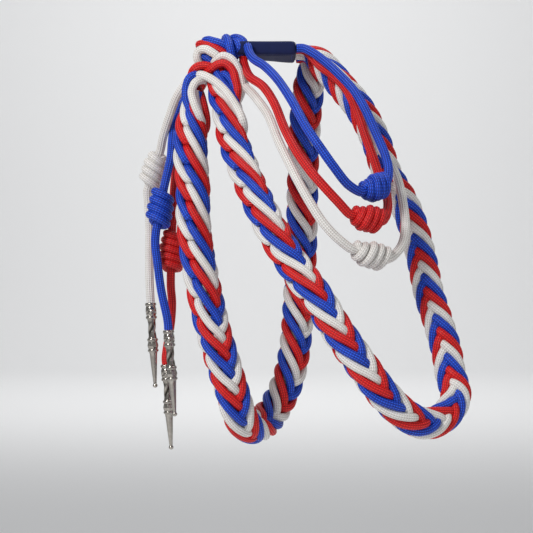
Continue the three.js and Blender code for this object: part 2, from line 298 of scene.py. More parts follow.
rayon = {
    "gloss": 0.3,
    "stitch": 1.9,  # mm from one stitch of the sheath to the next
    "slant": 0.5,
    "groove": 0.3,  # how light the painted shade in the grooves between the wales is
    "between": 0.35,  # how light the painted shade between two stitches is
    "cloudScale": 90.0,
    "cloud": 0.24,
    "fibreScale": 1400.0,
    "fibre": 0.12,
    "shift": 0.18,
    "low": (0.02, 0.36),  # tones from the painted groove shade to body
    "high": (0.36, 0.85),  # tones from body to the painted highlight
    "bump": 0.0005,
    "fibreBump": 0.2,
    "roughness": 0.55,
    "shine": 0.25,
}

# the darkest tone is painted shade for the grooves and the gaps between stitches; light is a
# painted highlight on the stitch crowns
rayonColours = {
    "blue": {
        "grooveShade": (0.002, 0.005, 0.07, 1),
        "body": (0.007, 0.032, 0.36, 1),
        "light": (0.03, 0.15, 0.95, 1),
    },
    "red": {
        "grooveShade": (0.12, 0.001, 0.002, 1),
        "body": (0.54, 0.004, 0.006, 1),
        "light": (0.98, 0.035, 0.03, 1),
    },
    "white": {
        "grooveShade": (0.38, 0.34, 0.31, 1),
        "body": (0.76, 0.73, 0.69, 1),
        "light": (0.95, 0.935, 0.91, 1),
    },
}


def stretched(tone, limits):  # 0 at the lower limit, 1 at the upper
    values = {"Value": tone, "From Min": limits[0], "From Max": limits[1]}
    return tone.node("ShaderNodeMapRange", {}, values)


def rayonMaterial(colour, wales):
    tones = rayonColours[colour]
    material, start, shader = newMaterial(f"{colour} rayon", Specular_IOR_Level=rayon["gloss"])
    along = start.node("ShaderNodeAttribute", {"attribute_name": "along"}, {}, "Fac") / mm
    ring = start.node("ShaderNodeAttribute", {"attribute_name": "ring"}, {}, "Vector")
    x = start.node("ShaderNodeSeparateXYZ", {}, {"Vector": ring})
    turn = start.math("ARCTAN2", x.other("Y"), x) * (wales / (2 * math.pi))
    # 0 on the crown of a wale, 1 in the groove beside it
    across = abs(start.math("FRACT", turn + 0.5) - 0.5) * 2
    crown = start.math("COSINE", across * math.pi) * 0.5 + 0.5
    phase = start.math("FRACT", along / rayon["stitch"] + across * rayon["slant"])
    dash = 1 - abs(phase * 2 - 1)
    # painted shade and highlight: grooves and gaps between stitches get a darker colour, the
    # stitch crowns a lighter one; the same pattern also sets the bump and roughness
    thread = crown * (1 - rayon["groove"]) + rayon["groove"]
    thread = thread * (dash * (1 - rayon["between"]) + rayon["between"])
    place = start.node("ShaderNodeTexCoord", {}, {}, "Object")
    cloud = noise(place, rayon["cloudScale"], 3.0)
    fibre = noise(place, rayon["fibreScale"], 2.0)
    tone = thread + cloud * rayon["cloud"] + fibre * rayon["fibre"] - rayon["shift"]
    # tone is painted shade and highlight from the weave, plus random cloud and fibre variation in
    # the yarn's colour
    base = stretched(tone, rayon["low"]).mix(tones["grooveShade"], tones["body"])
    feed(shader, "Base Color", stretched(tone, rayon["high"]).mix(base, tones["light"]))
    feed(shader, "Roughness", rayon["roughness"] - thread * rayon["shine"])
    height = thread * (1 - rayon["fibreBump"]) + fibre * rayon["fibreBump"]
    feed(shader, "Normal", bumped(height, 1.0, rayon["bump"]))
    return material


cordSize = {"diameter": 7.0, "lead": 5.6, "step": 1.2, "sides": 44, "wales": 11, "waleDepth": 0.04}

rayonOf = {colour: rayonMaterial(colour, cordSize["wales"]) for colour in rayonColours}
print("cord finish made")

nickelLook = {
    # the first colour is painted shade for the tip's hollows and narrow neck
    "recessShade": (0.045, 0.038, 0.03, 1),
    "tarnished": (0.3, 0.27, 0.235, 1),
    "bright": (0.62, 0.585, 0.535, 1),
    "hazeScale": 400.0,
    "scuffScale": 2600.0,
    "roughness": 0.08,
    "haze": 0.18,
    "scuffs": 0.08,
    "bump": 0.0001,
}


def nickelMaterial():
    look = nickelLook
    material, start, shader = newMaterial("polished nickel", Metallic=1.0)
    place = start.node("ShaderNodeTexCoord", {}, {}, "Object")
    haze = noise(place, look["hazeScale"], 4.0)
    scuffs = noise(place, look["scuffScale"], 2.0)
    relief = start.node("ShaderNodeAttribute", {"attribute_name": "relief"}, {}, "Fac")
    metal = haze.mix(look["tarnished"], look["bright"])
    # painted shade: the base colour darkens in the hollows and on the narrow neck
    feed(shader, "Base Color", relief.mix(look["recessShade"], metal))
    feed(shader, "Roughness", haze * look["haze"] + scuffs * look["scuffs"] + look["roughness"])
    feed(shader, "Normal", bumped(scuffs, 0.2, look["bump"]))
    return material


woolLook = {
    "dark": (0.002, 0.004, 0.03, 1),
    "light": (0.012, 0.022, 0.11, 1),
    "napScale": 1500.0,
    "cloudScale": 120.0,
    "nap": 0.6,  # its share of the tone
    "roughness": 0.75,
    "rougher": 0.15,
    "bump": 0.0004,
    "sheen": 0.08,
    "gloss": 0.25,
}


def clothMaterial():
    look = woolLook
    fixed = {"Sheen_Weight": look["sheen"], "Specular_IOR_Level": look["gloss"]}
    material, start, shader = newMaterial("blue wool cloth", **fixed)
    place = start.node("ShaderNodeTexCoord", {}, {}, "Object")
    nap = noise(place, look["napScale"], 4.0)
    cloud = noise(place, look["cloudScale"], 3.0)
    tone = nap * look["nap"] + cloud * (1 - look["nap"])
    feed(shader, "Base Color", tone.mix(look["dark"], look["light"]))
    feed(shader, "Roughness", nap * look["rougher"] + look["roughness"])
    feed(shader, "Normal", bumped(nap, 0.5, look["bump"]))
    return material


nickel = nickelMaterial()
wool = clothMaterial()

# Places on the tab where cords begin and end

tab = {
    "front": 12.3,
    "length": 49.7,
    "thickness": 12,
    "nearSide": -14,
    "farFront": 14,
    "farRear": 40,
    "corner": 5,
}
gap = 0.3
rearPlaces = {"blue": -10, "red": -2, "white": 6, "outer": 17.5, "inner": 31.5}
rearAxis = unit([-1, 0, 0])


def onRear(away):
    return np.array([tab["front"] + tab["length"] + gap, away, 0])


exits = {
    "blue": {"place": [22, tab["nearSide"] - gap, 0], "axis": [0, 1, 0]},
    "red": {"place": [18, -7, -tab["thickness"] / 2 - gap], "axis": [0, 0, 1]},
    "white": {"place": [18, 6, -tab["thickness"] / 2 - gap], "axis": [0, 0, 1]},
}
exitLead = 3


def leadTo(end, axis, lead=cordSize["lead"]):
    return np.array(end) - lead * np.array(axis)


# Cords over the arm: right, up, away

armRoutes = {
    "blue": {
        "front": [
            [23, -2, -22],
            [27, -8, -35],
            [35, -13, -48],
            [47, -25, -72],
            [59, -43, -94],
            [71, -65, -112],
            [82, -81, -117],
            [94, -98, -117],
            [106, -113, -111],
            [117, -119, -102],
        ],
        "rear": [
            [140, -112, -83],
            [140, -102, -77],
            [137, -88, -70],
            [129, -69, -61],
            [121, -51, -52],
            [111, -34, -42],
            [99, -21, -32],
            [87, -10, -21],
            [76, -2, -14],
        ],
    },
    "red": {
        "front": [
            [18, -9, -8],
            [20, -16, -20],
            [24, -23, -38],
            [35, -31, -62],
            [44, -45, -78],
            [53, -67, -95],
            [62, -84, -106],
            [73, -100, -114],
            [85, -114, -119],
            [97, -127, -118],
            [108, -138, -113],
        ],
        "rear": [
            [137, -145, -98],
            [139, -134, -84],
            [138, -120, -69],
            [133, -108, -63],
            [127, -90, -58],
            [121, -74, -52],
            [113, -51, -40],
            [105, -34, -32],
            [94, -22, -22],
            [82, -13, -12],
            [74, -4, -4],
        ],
    },
    "white": {
        "front": [
            [17, -14, 5],
            [18, -24, -6],
            [20, -31, -24],
            [24, -35, -38],
            [30, -42, -56],
            [39, -55, -72],
            [47, -75, -90],
            [55, -92, -102],
            [65, -112, -111],
            [74, -128, -117],
            [85, -145, -121],
            [96, -157, -121],
            [109, -167, -117],
        ],
        "rear": [
            [141, -177, -98],
            [150, -166, -90],
            [154, -150, -82],
            [152, -128, -73],
            [148, -110, -65],
            [142, -96, -57],
            [134, -84, -51],
            [126, -66, -44],
            [116, -46, -30],
            [108, -30, -21],
            [97, -18, -12],
            [84, -8, -3],
            [75, -2, 4],
        ],
    },
}

# Cords down the chest: right, up, away

hangRoutes = {
    "white": {
        "upper": [
            [-22, -15.5, -3],
            [-26, -21, 0],
            [-31, -28, 2],
            [-38, -39, 5],
            [-44, -55, 11],
            [-49, -71, 18],
            [-52, -85, 25],
        ],
        "lower": [
            [-62.5, -117, 32],
            [-62, -130, 34],
            [-61, -148, 34],
            [-61, -166, 33],
            [-61, -190, 32],
            [-60, -212, 31],
        ],
        "lean": [4, 1, -74],
    },
    "blue": {
        "upper": [
            [-19, -14, 9],
            [-22, -24, 13],
            [-28, -36, 17],
            [-35, -48, 21],
            [-40, -62, 22],
            [-42, -77, 14],
            [-43, -90, 7],
            [-46, -104, 3],
            [-49, -117, 2],
        ],
        "lower": [
            [-55, -150, 4],
            [-56, -162, 6],
            [-54, -180, 8],
            [-51, -202, 9],
            [-46, -225, 9],
            [-45, -235, 9],
        ],
        "lean": [5.5, 1, -74],
    },
    "red": {
        "upper": [
            [-11, -14, 10.5],
            [-16, -28, 11],
            [-26, -45, 16],
            [-33, -69, 17],
            [-37, -91, 17],
            [-40, -113, 17],
            [-41, -134, 17],
            [-42, -151, 18],
        ],
        "lower": [
            [-43, -188, 22],
            [-43, -199, 25],
            [-42, -212, 28],
            [-43, -229, 31],
            [-46, -248, 32],
            [-47, -264, 32],
        ],
        "lean": [4.5, 0, -74],
    },
}

# where each hanging cord's top goes in under the bights round the hold
hiddenTops = {
    "white": [[-11, -3, 0], [-18, -9, -2]],
    "blue": [[-10, -1, 1], [-15, -7, 5]],
    "red": [[-6, -1, 2], [-9, -7, 7]],
}

# Knots: slanted wraps laid side by side in a barrel, with a narrower last turn round the cord

knotForm = {
    "wraps": 3.3,
    "collarWraps": 0.9,
    "collar": 0.66,  # the last turn's share of the barrel's radius
    "shoulder": 0.9,  # the first wrap's share of it
    "radius": 10.8,
    "diameter": 6.0,
    "slant": 0.3,
    "lean": 0.6,  # radians round to where the slant is greatest
    "turn": 0.0,
    "collarInset": 0.4,  # shares of the slant that the barrel's two ends leave free
    "shoulderInset": 0.5,
    "widening": 0.9,  # turns
    "narrowing": 0.4,
    "lead": 1.0,
    "tuck": 4.0,
    "perTurn": 14,
    "sides": 33,
    "step": 1.1,
}

# where the coil's two ends tuck in: share of its reach, mm in from the end wrap, radians round
knotEnds = {
    "first": [(0.3, 5, -2.0), (0.65, 2, -1.1)],
    "last": [(0.45, 0.8, 0.9), (0.2, 3.5, 1.8)],
}

hangingKnots = {
    "white": dict(knotForm, wraps=3.1, turn=0.6, slant=0.24, diameter=6.6, collar=0.8),
    "blue": dict(
        knotForm, wraps=2.8, radius=11.4, slant=0.24, diameter=7, collar=0.88, shoulder=0.94
    ),
    "red": dict(knotForm, wraps=3.8, turn=-0.5, slant=0.24, diameter=6.4, collar=0.8),
}


def knotLine(start, end, form):
    axis = unit(end - start)
    length = np.linalg.norm(end - start) - 2 * gap
    side = unit(np.cross(axis, [0, 1, 0]))
    front = np.cross(side, axis)
    half = form["diameter"] / 2
    reach = form["radius"] - half
    turns = form["wraps"] + form["collarWraps"]
    lift = form["slant"] * reach
    first = half + lift * form["collar"] * form["collarInset"]
    last = length - half - lift * form["shoulder"] * form["shoulderInset"]
    wraps = [0, form["widening"], form["wraps"] - form["narrowing"], form["wraps"]]
    shares = [form["shoulder"], 1, 1, form["collar"]]
    rows = [(share * reach, last - back, angle) for share, back, angle in knotEnds["first"]]
    count = round(form["perTurn"] * turns)
    for i in range(count + 1):
        done = i / count
        share = np.interp(done * turns, wraps, shares)
        rows.append((share * reach, last - (last - first) * done, 2 * math.pi * turns * done))
    for share, back, angle in knotEnds["last"]:
        rows.append((share * reach, first + back, 2 * math.pi * turns + angle))
    points = []
    for out, along, angle in rows:
        angle += form["turn"]
        tilt = form["slant"] * out * math.cos(angle - form["lean"])
        offset = out * (math.cos(angle) * front + math.sin(angle) * side)
        points.append(start + axis * (gap + along + tilt) + offset)
    return sampled(points, 4)


def makeKnot(name, node, start, end, colour, form):
    line = turned(knotLine(start, end, form))
    size = dict(cordSize, **{key: form[key] for key in ("diameter", "sides", "step")})
    piece = makeCord(name, [line], size, rayonOf[colour])
    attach(piece, "root")
    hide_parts(node)
    return piece


def makeArmCord(colour):
    front = placed(armRoutes[colour]["front"])
    rear = placed(armRoutes[colour]["rear"])
    knotStart, knotEnd = front[-1], rear[0]
    axis = unit(knotEnd - knotStart)
    leave = exits[colour]
    end = onRear(rearPlaces[colour])
    points = [leave["place"], leadTo(leave["place"], leave["axis"], exitLead), *front[:-1]]
    points += [leadTo(knotStart, axis, knotForm["lead"]), knotStart]
    points += [leadTo(knotEnd, -axis, -knotForm["tuck"]), *rear[1:]]
    points += [leadTo(end, rearAxis), end]
    line = turned(evenly(sampled(points, 24), cordSize["step"]))
    piece = makeCord(f"{colour}_arm_cord", [line], cordSize, rayonOf[colour])
    knotName = f"{colour}_arm_knot"
    knot = makeKnot(knotName + "_coil", knotName, knotStart, knotEnd, colour, knotForm)
    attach(piece, "root")
    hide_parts(f"{colour}_arm_cord_front", f"{colour}_arm_cord_rear")


# Metal tips: turned, with cast relief round the barrel and a twisted neck

tipForm = {
    "length": 73.5,
    "collar": 4.8,
    "ball": 2.1,
    "join": 0.9,  # how far up the ball its neck joins it, in radii
    "pole": 0.25,
    "plain": 0.58,  # the share of the length past which the metal is plain and has no painted shade
    "around": 72,
    "rings": 190,
}

# shares of the length that the relief covers, and its depth in mm
tipBands = {
    "leaves": {"from": 0.04, "to": 0.153, "depth": 0.75, "below": 0.3},
    "twist": {"from": 0.2, "to": 0.41, "depth": 0.34},
    "beads": {"from": 0.455, "to": 0.543, "depth": 0.4, "below": 0.16},
}
# how strongly the painted shade on a tip follows its relief and the width of its outline
tipShine = {"level": 0.75, "relief": 1.6, "outline": 1.2, "middle": 0.8}

# share of the length, share of the collar's radius
tipOutline = [
    (0.0, 0.86),
    (0.008, 1.0),
    (0.03, 1.0),
    (0.038, 0.84),
    (0.055, 0.9),
    (0.1, 0.99),
    (0.14, 0.9),
    (0.155, 0.82),
    (0.162, 1.0),
    (0.185, 1.0),
    (0.193, 0.78),
    (0.22, 0.7),
    (0.32, 0.63),
    (0.4, 0.72),
    (0.418, 0.8),
    (0.424, 0.98),
    (0.446, 0.98),
    (0.453, 0.8),
    (0.475, 0.86),
    (0.505, 0.94),
    (0.53, 0.86),
    (0.545, 0.8),
    (0.551, 0.97),
    (0.572, 0.97),
    (0.58, 0.74),
    (0.62, 0.66),
    (0.8, 0.47),
    (0.94, 0.3),
]


def swell(share, band):  # 1 in the middle of a band, 0 at its ends and past them
    if not band["from"] < share < band["to"]:
        return 0.0
    return math.sin((share - band["from"]) / (band["to"] - band["from"]) * math.pi)


def tipRadius(share, angle):
    shares, radii = zip(*tipOutline)
    radius = np.interp(share, shares, radii) * tipForm["collar"]
    leaves, twist, beads = tipBands["leaves"], tipBands["twist"], tipBands["beads"]
    leaf = abs(math.sin(3 * angle + 18 * share)) * abs(math.cos(3 * angle - 60 * share))
    radius += swell(share, leaves) * (leaves["depth"] * leaf - leaves["below"])
    radius += swell(share, twist) * twist["depth"] * math.cos(3 * angle - 42 * share)
    radius += swell(share, beads) * (beads["depth"] * abs(math.cos(4 * angle)) - beads["below"])
    return radius


def tipReliefShade(share, radius):  # painted shade: 1 on the raised relief and the wide rings, darker toward 0 in the hollows and on the narrow neck
    if share > tipForm["plain"]:
        return 1.0
    shares, radii = zip(*tipOutline)
    base = np.interp(share, shares, radii)
    raised = radius - base * tipForm["collar"]
    bright = tipShine["level"] + tipShine["relief"] * raised
    bright += tipShine["outline"] * (base - tipShine["middle"])
    return min(max(bright, 0), 1)


def faceOut(piece):
    work = bmesh.new()
    work.from_mesh(piece.data)
    bmesh.ops.recalc_face_normals(work, faces=work.faces)
    work.to_mesh(piece.data)
    work.free()


def makeTip(name, node, top, lean):
    axis = unit(lean)
    side = unit(np.cross(axis, [0, 1, 0]))
    front = np.cross(side, axis)
    length, around, rings = tipForm["length"], tipForm["around"], tipForm["rings"]
    join = tipForm["join"]
    ballFrom = 1 - 2 * tipForm["ball"] / length * join
    verts, faces, relief = [], [], []
    start = top + axis * gap
    for i in range(rings + 1):
        share = i / rings
        for j in range(around):
            angle = 2 * math.pi * j / around
            if share < ballFrom:
                radius = tipRadius(share, angle)
            else:
                down = (share - ballFrom) / (1 - ballFrom)
                below = (1 + join) * down - join
                radius = tipForm["ball"] * math.sqrt(max(1 - below**2, 0.0))
            if i == rings:
                radius = tipForm["pole"]
            outward = math.cos(angle) * front + math.sin(angle) * side
            relief.append(tipReliefShade(share, radius))
            verts.append(start + axis * share * length + radius * outward)
    for i in range(rings):
        for j in range(around):
            a, b = i * around + j, i * around + (j + 1) % around
            faces.append((a, b, b + around, a + around))
    faces.append(tuple(reversed(range(around))))
    faces.append(tuple(range(rings * around, (rings + 1) * around)))
    mesh = bpy.data.meshes.new(name)
    mesh.from_pydata(turned(verts).tolist(), [], faces)
    mesh.attributes.new("relief", "FLOAT", "POINT").data.foreach_set("value", relief)
    mesh.materials.append(nickel)
    mesh.shade_smooth()
    piece = newPiece(name, mesh)
    faceOut(piece)
    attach(piece, "root")
    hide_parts(node)
    return piece


def makeHangingCord(colour):
    route = hangRoutes[colour]
    upper, lower = placed(route["upper"]), placed(route["lower"])
    knotStart, knotEnd, end = upper[-1], lower[0], lower[-1]
    axis = unit(knotEnd - knotStart)
    lean = unit(route["lean"])
    points = [*placed(hiddenTops[colour]), *upper[:-1]]
    points += [leadTo(knotStart, axis, knotForm["lead"]), knotStart]
    points += [knotEnd, leadTo(knotEnd, -axis, knotForm["lead"])]
    points += [*lower[1:-1], leadTo(end, lean), end]
    line = turned(evenly(sampled(points, 24), cordSize["step"]))
    piece = makeCord(f"{colour}_hanging_cord", [line], cordSize, rayonOf[colour])
    knotName = f"{colour}_hanging_knot"
    knot = makeKnot(knotName + "_coil", knotName, knotStart, knotEnd, colour, hangingKnots[colour])
    metalTip = makeTip(f"{colour}_metal_tip", f"{colour}_tip", end, route["lean"])
    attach(piece, "root")
    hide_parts(f"{colour}_hanging_cord_upper", f"{colour}_hanging_cord_lower")


# The camera, then the cords


def makeCamera():
    data = bpy.data.cameras.new("view")
    data.lens = sight["lens"]
    camera = bpy.data.objects.new("view", data)
    bpy.context.scene.collection.objects.link(camera)
    eye = turned([sight["middleRight"], -sight["distance"], sight["middleUp"]])[0]
    target = turned([sight["middleRight"], 0, sight["middleUp"]])[0]
    camera.location = eye
    camera.rotation_euler = Vector(target - eye).to_track_quat("-Z", "Y").to_euler()
    bpy.context.scene.camera = camera


makeCamera()
for colour in ("blue", "red", "white"):
    makeArmCord(colour)
print("arm cords made")
for colour in ("white", "blue", "red"):
    makeHangingCord(colour)
print("hanging cords made")

# Braids: three cords looped through each other, so that one side shows a row of V's

braids = {
    "inner": {
        "size": [99, 316, 95],
        "radius": 14.0,
        "diameter": 6.9,
        "count": [-15, -11, -5, -2, 1, 4, 7, 10, 37],
        "along": [-29, 35, 130, 177, 222, 265, 301, 338, 718],
        "start": {"clip": 24, "share": 0.35, "taper": 40},
        "end": {"share": 0.28, "taper": 42},
    },
    "outer": {
        "size": [201, 314, 151],
        "radius": 12.3,
        "diameter": 6.7,
        "count": [-12, -9, -6, -3, 0, 3, 6, 9, 12, 15, 18, 21, 24, 27, 49],
        "along": [-30, 27, 85, 143, 197, 246, 289, 331, 372, 413, 445, 479, 513, 546, 806],
        "start": {"clip": 6, "share": 0.6, "taper": 30},
        "end": {"share": 0.25, "taper": 28},
    },
}
strand = {"cord": dict(cordSize, sides=20, step=1.9, waleDepth=0.0), "trim": 0.2, "fewest": 6}
braidOrder = ("red", "blue", "white")  # the order of the V's from the shoulder on
braidLast = {"inner": [0.3, 0.8, 0.5], "outer": [0, 0.8, -0.6]}

braidRoutes = {
    "inner": [
        ([-0.182, -0.041, -0.095], [0.57, 0, -0.82]),
        ([-0.202, -0.063, -0.147], [0.71, 0, -0.71]),
        ([-0.222, -0.095, -0.158], [0.87, 0, -0.5]),
        ([-0.253, -0.149, -0.168], [0.94, 0, -0.34]),
        ([-0.263, -0.212, -0.189], [0.97, 0, -0.24]),
        ([-0.263, -0.285, -0.221], [0.98, 0, -0.21]),
        ([-0.242, -0.37, -0.253], [0.98, 0, -0.21]),
        ([-0.242, -0.44, -0.295], [0.98, 0, -0.21]),
        ([-0.212, -0.532, -0.337], [0.95, 0, -0.31]),
        ([-0.152, -0.639, -0.389], [0.83, 0, -0.56]),
        ([-0.081, -0.741, -0.421], [0.47, 0, -0.88]),
        ([0, -0.826, -0.453], [0.34, 0, -0.94]),
        ([0.081, -0.908, -0.453], [0.25, -0.2, -0.95]),
        ([0.152, -0.972, -0.379], [0.1, -0.5, -0.8]),
        ([0.242, -1, -0.179], [0, -0.9, -0.4]),
        ([0.343, -0.991, 0.053], [0, -1, 0.1]),
        ([0.455, -0.946, 0.253], [0, -0.7, 0.7]),
        ([0.556, -0.877, 0.379], [0.1, -0.3, 0.95]),
        ([0.616, -0.785, 0.463], [0.1, 0, 1]),
        ([0.646, -0.665, 0.526], [0.1, 0, 1]),
        ([0.667, -0.532, 0.547], [0.1, 0, 1]),
        ([0.677, -0.399, 0.537], [0.1, 0, 1]),
        ([0.687, -0.278, 0.505], [0.1, 0, 1]),
        ([0.707, -0.165, 0.463], [0.1, 0, 1]),
        ([0.737, -0.076, 0.411], [0.2, 0.2, 1]),
        ([0.737, -0.022, 0.347], [0.3, 0.7, 0.7]),
    ],
    "outer": [
        ([-0.025, -0.041, -0.06], [0.71, 0, -0.71]),
        ([-0.02, -0.064, -0.093], [0.77, 0, -0.64]),
        ([-0.01, -0.092, -0.126], [0.79, 0, -0.62]),
        ([0.015, -0.143, -0.166], [0.79, 0, -0.62]),
        ([0.045, -0.236, -0.278], [0.77, 0, -0.64]),
        ([0.104, -0.338, -0.437], [0.72, 0, -0.69]),
        ([0.149, -0.404, -0.543], [0.67, 0, -0.74]),
        ([0.219, -0.494, -0.649], [0.64, 0, -0.77]),
        ([0.303, -0.58, -0.728], [0.62, 0, -0.79]),
        ([0.393, -0.659, -0.808], [0.36, 0.1, -0.93]),
        ([0.478, -0.748, -0.861], [0.3, 0.1, -0.95]),
        ([0.587, -0.847, -0.887], [0.2, 0.1, -0.97]),
        ([0.667, -0.917, -0.874], [0.15, 0.1, -0.98]),
        ([0.766, -0.978, -0.808], [0.1, 0.1, -1]),
        ([0.851, -1, -0.702], [0.2, 0, -1]),
        ([0.93, -0.978, -0.596], [0.3, -0.1, -0.9]),
        ([0.975, -0.927, -0.53], [0.2, 0, -1]),
        ([0.955, -0.866, -0.477], [0, 0, -1]),
        ([0.94, -0.809, -0.437], [0, 0, -1]),
        ([0.905, -0.729, -0.397], [-0.05, 0, -1]),
        ([0.866, -0.65, -0.364], [-0.1, 0, -1]),
        ([0.841, -0.573, -0.331], [-0.1, 0, -1]),
        ([0.811, -0.494, -0.305], [-0.15, 0, -1]),
        ([0.766, -0.414, -0.272], [-0.15, 0, -1]),
        ([0.692, -0.331, -0.225], [-0.1, 0, -1]),
        ([0.642, -0.239, -0.159], [0, 0, -1]),
        ([0.577, -0.159, -0.086], [0.1, 0, -1]),
        ([0.512, -0.108, -0.02], [0.1, 0.2, -1]),
        ([0.443, -0.057, 0.06], [0.1, 0.4, -0.9]),
        ([0.378, -0.016, 0.113], [0, 0.6, -0.8]),
    ],
}

# One loop of a cord through the braid: pitches back from its V's point, degrees round from the V's
# middle (right is more), and the share of the radius.
loopPath = [
    (-0.3, 38, 0.38),
    (-0.12, 27, 0.6),
    (0.08, 17, 0.84),
    (0.28, 7, 1.0),
    (0.58, -6, 1.06),
    (0.95, -24, 1.07),
    (1.35, -43, 1.07),
    (1.75, -61, 1.05),
    (2.1, -77, 1.0),
    (2.38, -91, 0.86),
    (2.62, -112, 0.52),
    (2.84, -170, 0.14),
    (2.82, 126, 0.5),
    (2.62, 108, 0.86),
    (2.3, 92, 1.02),
    (1.9, 74, 1.07),
    (1.45, 56, 1.08),
    (1.0, 38, 1.06),
    (0.68, 24, 0.95),
    (0.42, 7, 0.68),
    (0.2, -28, 0.42),
    (-0.04, -68, 0.5),
    (-0.14, -98, 0.86),
    (0.2, -116, 1.02),
    (0.7, -141, 1.07),
    (1.2, -166, 1.08),
    (1.7, -192, 1.06),
    (2.15, -218, 0.96),
    (2.45, -242, 0.72),
    (2.66, -288, 0.42),
]


def braidFrames(side):
    rows = braidRoutes[side]
    end = onRear(rearPlaces[side])
    places = placed(np.array([row[0] for row in rows]) * braids[side]["size"])
    points = [*places, leadTo(end, rearAxis), end]
    looks = np.array([row[1] for row in rows] + [braidLast[side]] * 2)[:, [0, 2, 1]]
    line = sampled(points, 30)
    look = sampled(looks, 30)
    along = lengthsAlong(line)
    at = np.linspace(0, along[-1], round(along[-1]) + 1)
    line = readAt(line, along, at)
    look = readAt(look, along, at)
    tangent = np.gradient(line, axis=0)
    tangent /= np.linalg.norm(tangent, axis=1)[:, None]
    face = look - (look * tangent).sum(1)[:, None] * tangent
    face /= np.linalg.norm(face, axis=1)[:, None]
    return at, line, face, np.cross(face, tangent)


def swelling(along, end):  # the share of its full radius that a braid has near an end
    t = np.clip(along / end["taper"], 0, 1)
    return end["share"] + (1 - end["share"]) * t * t * (3 - 2 * t)


def strandLines(side, index):
    form = braids[side]
    at, line, face, across = braidFrames(side)
    length = at[-1]
    reach = form["radius"] - form["diameter"] / 2
    rows = []
    for loop in range(form["count"][-1], form["count"][0], -1):
        if loop % 3 != index:
            continue
        for back, degrees, share in loopPath:
            angle = math.radians(degrees)
            place = np.interp(loop - back, form["count"], form["along"])
            rows.append([place, share * reach * math.cos(angle), share * reach * math.sin(angle)])
    rows = sampled(rows, 8)
    s = rows[:, 0]
    begin = form["start"]
    width = swelling(s - begin["clip"], begin) * swelling(length - s, form["end"])
    inside = (s > begin["clip"]) & (s < length - strand["trim"])
    middle, outward, aside = (readAt(part, at, s) for part in (line, face, across))
    points = middle + (rows[:, 1] * width)[:, None] * outward
    points += (rows[:, 2] * width)[:, None] * aside
    runs, run = [], []
    for keep, point in zip(inside, points):
        if keep:
            run.append(point)
        elif run:
            runs.append(run)
            run = []
    if run:
        runs.append(run)
    return [turned(np.array(run)) for run in runs if len(run) > strand["fewest"]]


def makeBraid(side):
    form = braids[side]
    size = dict(strand["cord"], diameter=form["diameter"])
    for index, colour in enumerate(braidOrder):
        lines = strandLines(side, index)
        piece = makeCord(f"{side}_braid_{colour}", lines, size, rayonOf[colour])
        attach(piece, "root")
        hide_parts(f"{side}_braid")


makeBraid("inner")
makeBraid("outer")
print("braids made")

# The head: bights of the three cords gathered round the hold, over the braids' beginnings

